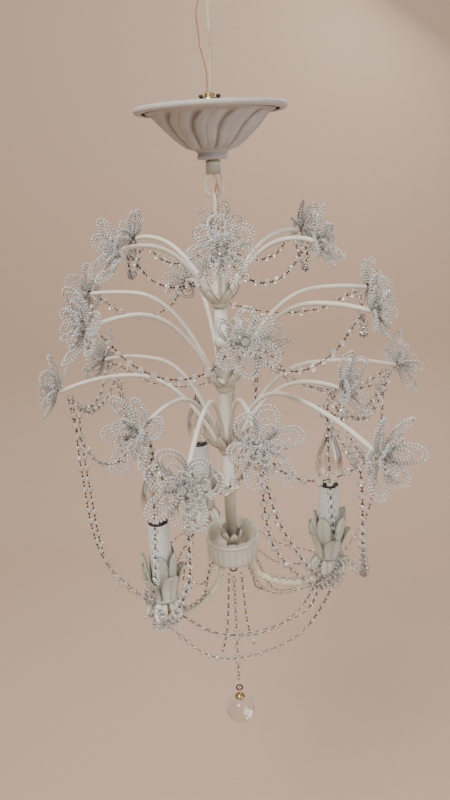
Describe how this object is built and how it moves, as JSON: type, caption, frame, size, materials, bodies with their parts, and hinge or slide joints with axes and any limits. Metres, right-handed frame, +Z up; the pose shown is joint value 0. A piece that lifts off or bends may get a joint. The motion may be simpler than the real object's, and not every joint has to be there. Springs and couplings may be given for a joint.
{
  "type": "mini chandelier",
  "caption": "Small hanging chandelier: domed ceiling canopy, short chain, tiered fountain arms with beaded glass flowers and garlands, candle lights and a glass ball drop.",
  "frame": {"origin": "centre of the canopy rim's top plane, where the fixture meets the ceiling", "axes": "+Z up to the ceiling, -Y towards the front"},
  "size_m": [0.4197, 0.4191, 0.8709],
  "materials": {
    "cream_paint": "antique cream paint, rubbed",
    "brass": "plain, slightly dull",
    "candle_sleeve": "satin white",
    "lamp_socket": "dark moulded phenolic",
    "bulb_glass": "clear",
    "clear_cord": "clear jacket over copper strands",
    "copper": "bare copper wire",
    "glass_beads": "clear glass beads on bronze wire",
    "crystal": "clear polished"
  },
  "bodies": {
    "ceiling_fitting": {"canopy": "cream_paint", "mounting_strap": "brass", "hanging_nipple": "brass", "lock_nut": "brass", "canopy_loop": "cream_paint", "supply_cord": "clear_cord", "ground_wire": "copper"},
    "link": {"chain_link": "cream_paint", "chain_cord": "clear_cord"},
    "hanger": {"stem_loop": "cream_paint"},
    "chandelier": {"stem_tube": "cream_paint", "upper_tier": "cream_paint", "middle_tier": "cream_paint", "lower_tier": "cream_paint", "hub_bowl": "cream_paint", "bottom_finial": "cream_paint", "candle_arm_1": "cream_paint", "leaf_cup_1": "cream_paint", "candle_sleeve_1": "candle_sleeve", "lamp_socket_1": "lamp_socket", "candle_arm_2": "cream_paint", "leaf_cup_2": "cream_paint", "candle_sleeve_2": "candle_sleeve", "lamp_socket_2": "lamp_socket", "candle_arm_3": "cream_paint", "leaf_cup_3": "cream_paint", "candle_sleeve_3": "candle_sleeve", "lamp_socket_3": "lamp_socket", "upper_flower_1": "glass_beads", "upper_flower_2": "glass_beads", "upper_flower_3": "glass_beads", "upper_flower_4": "glass_beads", "upper_flower_5": "glass_beads", "upper_flower_6": "glass_beads", "middle_flower_1": "glass_beads", "middle_flower_2": "glass_beads", "middle_flower_3": "glass_beads", "middle_flower_4": "glass_beads", "middle_flower_5": "glass_beads", "middle_flower_6": "glass_beads", "lower_flower_1": "glass_beads", "lower_flower_2": "glass_beads", "lower_flower_3": "glass_beads", "lower_flower_4": "glass_beads", "lower_flower_5": "glass_beads", "lower_flower_6": "glass_beads", "lower_flower_7": "glass_beads", "lower_flower_8": "glass_beads", "lower_flower_9": "glass_beads", "upper_garland": "glass_beads", "middle_garland": "glass_beads", "lower_garland": "glass_beads", "long_garland": "glass_beads", "hub_garland": "glass_beads"},
    "drop": {"drop_strand": "glass_beads"},
    "ball": {"ball_cap": "brass", "crystal_ball": "crystal"},
    "bulb_1": {"bulb_1": "bulb_glass"},
    "bulb_2": {"bulb_2": "bulb_glass"},
    "bulb_3": {"bulb_3": "bulb_glass"}
  },
  "joints": [
    {"name": "link_swing", "type": "hinge", "parent": "ceiling_fitting", "child": "link", "pos_m": [0, 0, -0.081], "axis": [1, 0, 0], "range_deg": [-20, 20]},
    {"name": "hanger_swing", "type": "hinge", "parent": "link", "child": "hanger", "pos_m": [0, 0, -0.1024], "axis": [0, 1, 0], "range_deg": [-20, 20]},
    {"name": "chandelier_turn", "type": "hinge", "parent": "hanger", "child": "chandelier", "pos_m": [0, 0, -0.1316], "axis": [0, 0, 1], "range_deg": [-30, 30]},
    {"name": "drop_swing", "type": "hinge", "parent": "chandelier", "child": "drop", "pos_m": [0, 0, -0.5084], "axis": [0, 1, 0], "range_deg": [-15, 15]},
    {"name": "ball_swing", "type": "hinge", "parent": "drop", "child": "ball", "pos_m": [0, 0, -0.6981], "axis": [1, 0, 0], "range_deg": [-25, 25]},
    {"name": "bulb_turn_1", "type": "hinge", "parent": "chandelier", "child": "bulb_1", "pos_m": [-0.07488, -0.08463, -0.4], "axis": [0, 0, 1], "range_deg": [0, 720]},
    {"name": "bulb_turn_2", "type": "hinge", "parent": "chandelier", "child": "bulb_2", "pos_m": [0.11073, -0.02253, -0.4], "axis": [0, 0, 1], "range_deg": [0, 720]},
    {"name": "bulb_turn_3", "type": "hinge", "parent": "chandelier", "child": "bulb_3", "pos_m": [-0.03586, 0.10716, -0.4], "axis": [0, 0, 1], "range_deg": [0, 720]}
  ]
}
